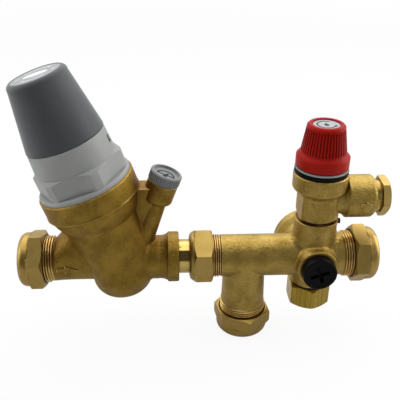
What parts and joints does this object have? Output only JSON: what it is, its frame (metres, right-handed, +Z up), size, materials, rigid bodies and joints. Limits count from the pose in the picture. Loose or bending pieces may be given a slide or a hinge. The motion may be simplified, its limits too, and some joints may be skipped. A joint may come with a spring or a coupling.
{
  "type": "inlet control valve",
  "caption": "Brass cold-water inlet control group: inclined pressure reducing valve, union, check valve, expansion relief valve with red test cap, compression branch and outlet.",
  "frame": {"origin": "centre of the inlet nut's mouth, on the pipe axis", "axes": "+X along the flow from inlet to outlet, +Y away from the viewer, +Z up"},
  "size_m": [0.219, 0.057, 0.1733],
  "materials": {
    "forged_brass": "sand-blasted forging",
    "machined_brass": "turned",
    "light_grey_plastic": "moulded",
    "dark_grey_plastic": "moulded",
    "label": "printed disc",
    "grey_plastic": "moulded",
    "red_plastic": "moulded",
    "black_plastic": "moulded",
    "inner_plastic": "moulded",
    "steel": "stainless",
    "seal_rubber": "moulded"
  },
  "bodies": {
    "valve_body": {"prv_body": "forged_brass", "manifold_body": "forged_brass", "erv_body": "forged_brass", "inlet_nut": "machined_brass", "branch_nut": "machined_brass", "outlet_nut": "machined_brass", "union_nut": "machined_brass", "outlet_tail": "machined_brass", "bottom_plug": "machined_brass", "erv_gland_nut": "machined_brass", "inlet_olive": "machined_brass", "branch_olive": "machined_brass", "outlet_olive": "machined_brass", "erv_gland_olive": "machined_brass", "erv_adjusting_ring": "machined_brass", "prv_bonnet": "light_grey_plastic", "erv_ring": "light_grey_plastic", "gauge_plug": "grey_plastic", "front_plug": "black_plastic", "erv_bonnet": "black_plastic", "prv_cartridge": "inner_plastic", "check_valve_cage": "inner_plastic", "prv_strainer": "steel", "check_valve_spring": "steel", "erv_spring": "steel", "erv_grub_screw": "steel", "prv_diaphragm": "seal_rubber", "prv_cartridge_seal": "seal_rubber", "gauge_plug_seal": "seal_rubber", "union_washer": "seal_rubber", "check_valve_o_ring": "seal_rubber", "bottom_plug_seal": "seal_rubber", "front_plug_seal": "seal_rubber", "erv_o_ring": "seal_rubber", "erv_diaphragm": "seal_rubber"},
    "prv_knob": {"prv_knob": "dark_grey_plastic", "knob_label": "label", "prv_adjusting_screw": "machined_brass"},
    "prv_spring_plate": {"prv_spring_plate": "steel"},
    "prv_stem": {"prv_stem": "machined_brass", "prv_diaphragm_plate": "steel", "prv_stem_nut": "steel", "prv_obturator": "machined_brass", "prv_obturator_seal": "seal_rubber", "prv_spring": "steel"},
    "check_poppet": {"check_valve_poppet": "inner_plastic", "check_valve_seal": "seal_rubber"},
    "erv_lift": {"erv_stem": "machined_brass", "erv_spring_plate": "steel", "erv_disc": "machined_brass", "erv_seal": "seal_rubber", "erv_cap_screw": "steel"},
    "erv_cap": {"erv_cap": "red_plastic", "erv_cap_label": "label"}
  },
  "joints": [
    {"name": "prv_knob_turn", "type": "hinge", "parent": "valve_body", "child": "prv_knob", "pos_m": [0.0599, 0, 0], "axis": [-0.3173, 0, 0.9483], "range_deg": [-540, 540]},
    {"name": "prv_spring_plate_slide", "type": "slide", "parent": "valve_body", "child": "prv_spring_plate", "axis": [-0.3173, 0, 0.9483], "range_m": [-0.0042, 0.0042], "deforming": ["prv_spring"]},
    {"name": "prv_stem_slide", "type": "slide", "parent": "valve_body", "child": "prv_stem", "axis": [-0.3173, 0, 0.9483], "range_m": [0, 0.0022], "stiffness_N_per_m": 2000, "springref_m": -0.001, "deforming": ["prv_diaphragm"]},
    {"name": "check_poppet_slide", "type": "slide", "parent": "valve_body", "child": "check_poppet", "axis": [1, 0, 0], "range_m": [0, 0.0045], "stiffness_N_per_m": 100, "springref_m": -0.003, "deforming": ["check_valve_spring"]},
    {"name": "erv_lift_slide", "type": "slide", "parent": "valve_body", "child": "erv_lift", "axis": [0, 0, 1], "range_m": [0, 0.0022], "deforming": ["erv_spring", "erv_diaphragm"]},
    {"name": "erv_cap_turn", "type": "hinge", "parent": "erv_lift", "child": "erv_cap", "pos_m": [0.1786, 0, 0], "axis": [0, 0, 1], "range_deg": [0, 90]}
  ],
  "couplings": [
    {"joint": "prv_spring_plate_slide", "follows": "prv_knob_turn", "m_per_rad": 0.0004456},
    {"joint": "erv_lift_slide", "follows": "erv_cap_turn", "m_per_rad": 0.0014}
  ]
}
